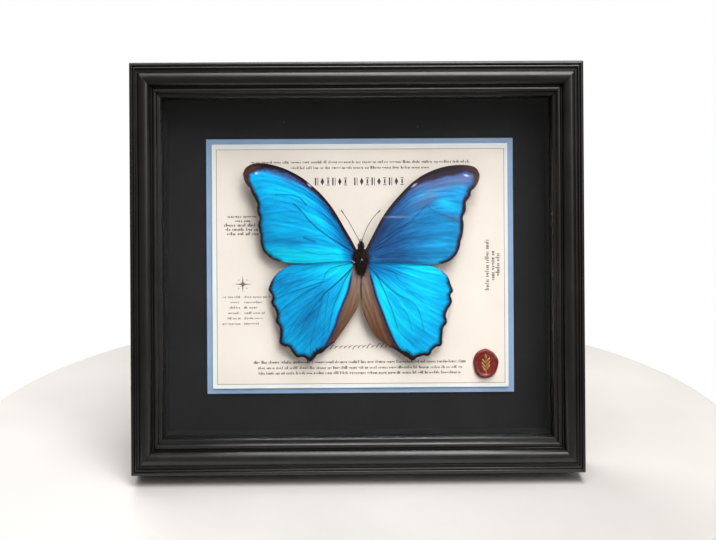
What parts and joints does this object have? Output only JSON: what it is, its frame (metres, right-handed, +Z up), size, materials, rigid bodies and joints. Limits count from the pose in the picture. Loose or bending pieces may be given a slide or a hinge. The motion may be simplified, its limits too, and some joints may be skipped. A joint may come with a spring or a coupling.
{
  "type": "framed butterfly specimen",
  "caption": "Spread blue butterfly pinned over a printed card inside a black moulded shadow-box frame with glass, leaning back on a hinged easel strut.",
  "frame": {"origin": "middle of the object's footprint on the table, at table height", "axes": "+Z up from the table, X along the width of the frame, the glass faces -Y and the easel strut stands behind on +Y"},
  "size_m": [0.25, 0.101, 0.2294],
  "materials": {
    "black_lacquer": "satin black lacquer on a moulded wooden rail, faintly speckled",
    "clear_glass": "clear float glass, polished",
    "black_paper": "matt black paper over board, with a little dust",
    "hardboard": "dark brown hardboard with a fine pressed grain",
    "blue_card": "matt pale blue card",
    "cream_card": "smooth cream card with fine printed rules",
    "red_wax": "dark red sealing wax with a soft shine",
    "insect_body": "black-brown hair over a dry insect body",
    "blue_wing": "structural blue wing scales with a silky sheen, dark brown edges and fine veins",
    "brown_antenna": "dry dark brown antenna",
    "steel": "zinc-plated steel",
    "brass_plate": "brass-plated pressed steel, slightly dull"
  },
  "bodies": {
    "root": {"rail_top": "black_lacquer", "rail_bottom": "black_lacquer", "rail_left": "black_lacquer", "rail_right": "black_lacquer", "glass_pane": "clear_glass", "spacer_top": "black_paper", "spacer_bottom": "black_paper", "spacer_left": "black_paper", "spacer_right": "black_paper", "backing_board": "black_paper", "back_panel": "hardboard", "blue_card": "blue_card", "label_card": "cream_card", "wax_seal": "red_wax", "butterfly_body": "insect_body", "forewing_left": "blue_wing", "forewing_right": "blue_wing", "hindwing_left": "blue_wing", "hindwing_right": "blue_wing", "antenna_left": "brown_antenna", "antenna_right": "brown_antenna", "insect_pin": "steel", "sawtooth_hanger": "brass_plate", "hanger_nail_1": "steel", "hanger_nail_2": "steel", "hinge_leaf_fixed": "brass_plate", "hinge_pin": "steel", "hinge_screw_1": "steel", "hinge_screw_2": "steel", "back_screw_top_1": "steel", "back_screw_top_2": "steel", "back_screw_bottom_1": "steel", "back_screw_bottom_2": "steel", "back_screw_left_1": "steel", "back_screw_right_1": "steel"},
    "strut": {"easel_strut": "hardboard", "hinge_leaf_strut": "brass_plate", "strut_rivet_1": "steel", "strut_rivet_2": "steel"}
  },
  "joints": [
    {"name": "strut_hinge", "type": "hinge", "parent": "root", "child": "strut", "pos_m": [0, 0.01809, 0.16147], "axis": [1, 0, 0], "range_deg": [-22, 0]}
  ]
}
